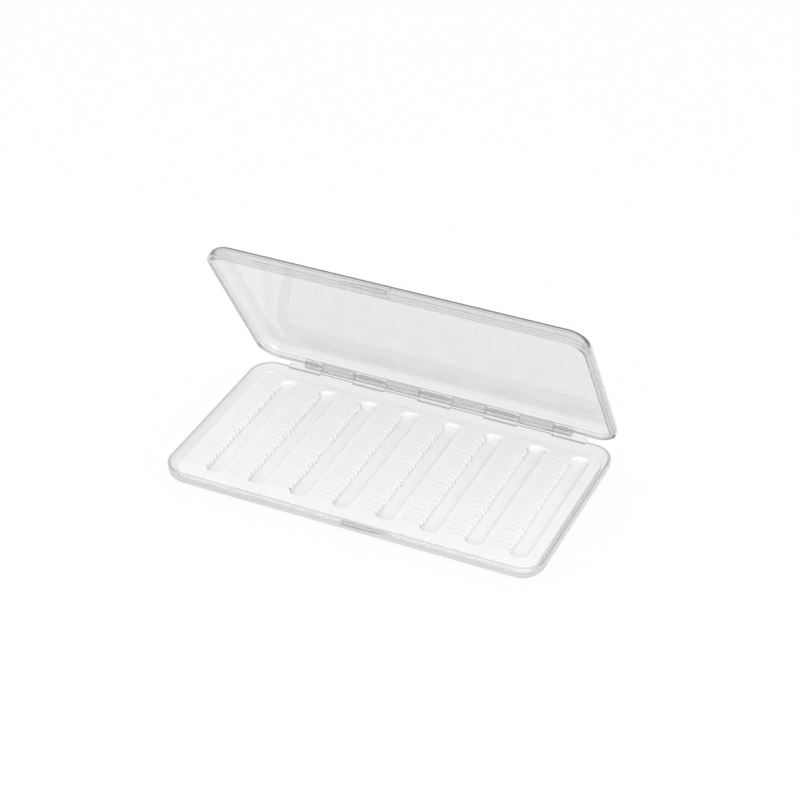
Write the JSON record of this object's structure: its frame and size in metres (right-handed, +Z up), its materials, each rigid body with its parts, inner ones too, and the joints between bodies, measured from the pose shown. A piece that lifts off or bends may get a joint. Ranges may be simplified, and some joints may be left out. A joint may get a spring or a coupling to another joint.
{
  "type": "fly box",
  "caption": "Slim clear fly box with a slit foam insert, a pinned knuckle hinge along the back, a lipped snap-shut lid and offset thumb tabs.",
  "frame": {"origin": "centre of the tray's flat underside, on the surface that the box lies on", "axes": "+X along the hinge, -Y towards the opening side with the thumb tabs, +Z up; the lid rests open at 59 degrees"},
  "size_m": [0.188, 0.1083, 0.1001],
  "materials": {
    "clear_plastic": "clear, polished as moulded",
    "clear_rod": "clear, smooth as drawn",
    "white_foam": "matt closed-cell foam",
    "adhesive": "thin milky film"
  },
  "bodies": {
    "base": {"base_tray": "clear_plastic", "hinge_pin": "clear_rod", "foam_backing": "white_foam", "slit_foam": "white_foam", "adhesive_film": "adhesive"},
    "lid": {"lid": "clear_plastic"}
  },
  "joints": [
    {"name": "lid_hinge", "type": "hinge", "parent": "base", "child": "lid", "pos_m": [0, 0.05345, 0.0084], "axis": [-1, 0, 0], "range_deg": [-59, 121]}
  ]
}
